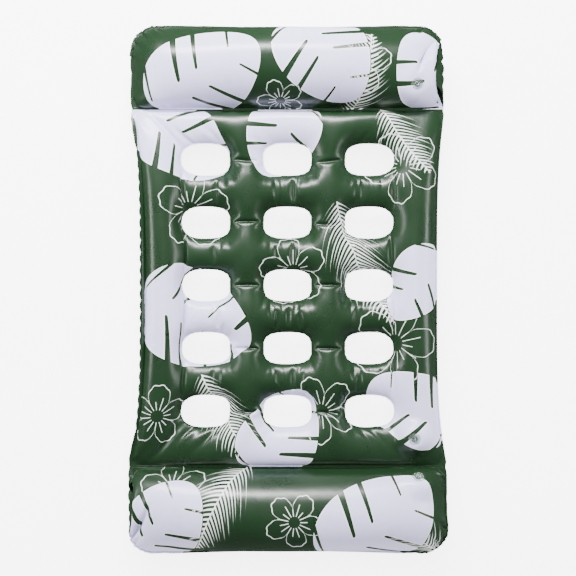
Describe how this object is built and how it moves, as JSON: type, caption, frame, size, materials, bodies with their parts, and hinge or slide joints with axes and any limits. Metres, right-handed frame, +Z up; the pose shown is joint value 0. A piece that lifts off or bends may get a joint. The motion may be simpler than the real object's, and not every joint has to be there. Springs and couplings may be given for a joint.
{
  "type": "pool float mat",
  "caption": "Inflated pool mat with oval through holes between a headrest and a footrest that fold on weld lines, each chamber with its own push-in valve.",
  "frame": {"origin": "on the ground under the middle of the float's length and width", "axes": "+X across the float to the side with the valves, +Y along it to the headrest, +Z up"},
  "size_m": [1.028, 1.696, 0.2411],
  "materials": {
    "printed_film": "gloss",
    "plain_film": "gloss",
    "clear_vinyl": "gloss"
  },
  "bodies": {
    "mat": {"mat_top_sheet": "printed_film", "mat_bottom_sheet": "plain_film", "mat_valve_flange": "clear_vinyl"},
    "headrest": {"headrest_top_sheet": "printed_film", "headrest_bottom_sheet": "plain_film", "headrest_valve_flange": "clear_vinyl"},
    "footrest": {"footrest_top_sheet": "printed_film", "footrest_bottom_sheet": "plain_film", "footrest_valve_flange": "clear_vinyl"},
    "headrest_stem": {"headrest_valve_stem": "clear_vinyl"},
    "headrest_stopper": {"headrest_valve_stopper": "clear_vinyl"},
    "headrest_flap": {"headrest_valve_flap": "clear_vinyl"},
    "footrest_stem": {"footrest_valve_stem": "clear_vinyl"},
    "footrest_stopper": {"footrest_valve_stopper": "clear_vinyl"},
    "footrest_flap": {"footrest_valve_flap": "clear_vinyl"},
    "mat_stem": {"mat_valve_stem": "clear_vinyl"},
    "mat_stopper": {"mat_valve_stopper": "clear_vinyl"},
    "mat_flap": {"mat_valve_flap": "clear_vinyl"}
  },
  "joints": [
    {"name": "headrest_fold", "type": "hinge", "parent": "mat", "child": "headrest", "pos_m": [0, 0.576, 0.12055], "axis": [1, 0, 0], "range_deg": [-25, 25], "stiffness_Nm_per_rad": 10, "springref_deg": -3.44},
    {"name": "footrest_fold", "type": "hinge", "parent": "mat", "child": "footrest", "pos_m": [0, -0.567, 0.12055], "axis": [-1, 0, 0], "range_deg": [-25, 25], "stiffness_Nm_per_rad": 10, "springref_deg": -3.44},
    {"name": "headrest_stem_slide", "type": "slide", "parent": "headrest", "child": "headrest_stem", "axis": [0.2237, -0.313, 0.923], "range_m": [0, 0.016]},
    {"name": "headrest_stopper_swing", "type": "hinge", "parent": "headrest_stem", "child": "headrest_stopper", "pos_m": [0.41697, 0.64372, 0.20344], "axis": [0, 0.947, 0.3211], "range_deg": [0, 150]},
    {"name": "headrest_flap_swing", "type": "hinge", "parent": "headrest_stem", "child": "headrest_flap", "pos_m": [0.40812, 0.65051, 0.18341], "axis": [0, -0.947, -0.3211], "range_deg": [0, 35], "stiffness_Nm_per_rad": 0.0002, "springref_deg": -5.73},
    {"name": "footrest_stem_slide", "type": "slide", "parent": "footrest", "child": "footrest_stem", "axis": [0.0435, 0.7754, 0.63], "range_m": [0, 0.016]},
    {"name": "footrest_stopper_swing", "type": "hinge", "parent": "footrest_stem", "child": "footrest_stopper", "pos_m": [0.42364, -0.5887, 0.17157], "axis": [0, 0.6306, -0.7761], "range_deg": [0, 150]},
    {"name": "footrest_flap_swing", "type": "hinge", "parent": "footrest_stem", "child": "footrest_flap", "pos_m": [0.41876, -0.60609, 0.15744], "axis": [0, -0.6306, 0.7761], "range_deg": [0, 35], "stiffness_Nm_per_rad": 0.0002, "springref_deg": -5.73},
    {"name": "mat_stem_slide", "type": "slide", "parent": "mat", "child": "mat_stem", "axis": [0.0191, -0.0054, 0.9998], "range_m": [0, 0.016]},
    {"name": "mat_stopper_swing", "type": "hinge", "parent": "mat_stem", "child": "mat_stopper", "pos_m": [0.41108, -0.47103, 0.1792], "axis": [0, 1, 0.0054], "range_deg": [0, 150]},
    {"name": "mat_flap_swing", "type": "hinge", "parent": "mat_stem", "child": "mat_flap", "pos_m": [0.40675, -0.47091, 0.15668], "axis": [0, -1, -0.0054], "range_deg": [0, 35], "stiffness_Nm_per_rad": 0.0002, "springref_deg": -5.73}
  ]
}
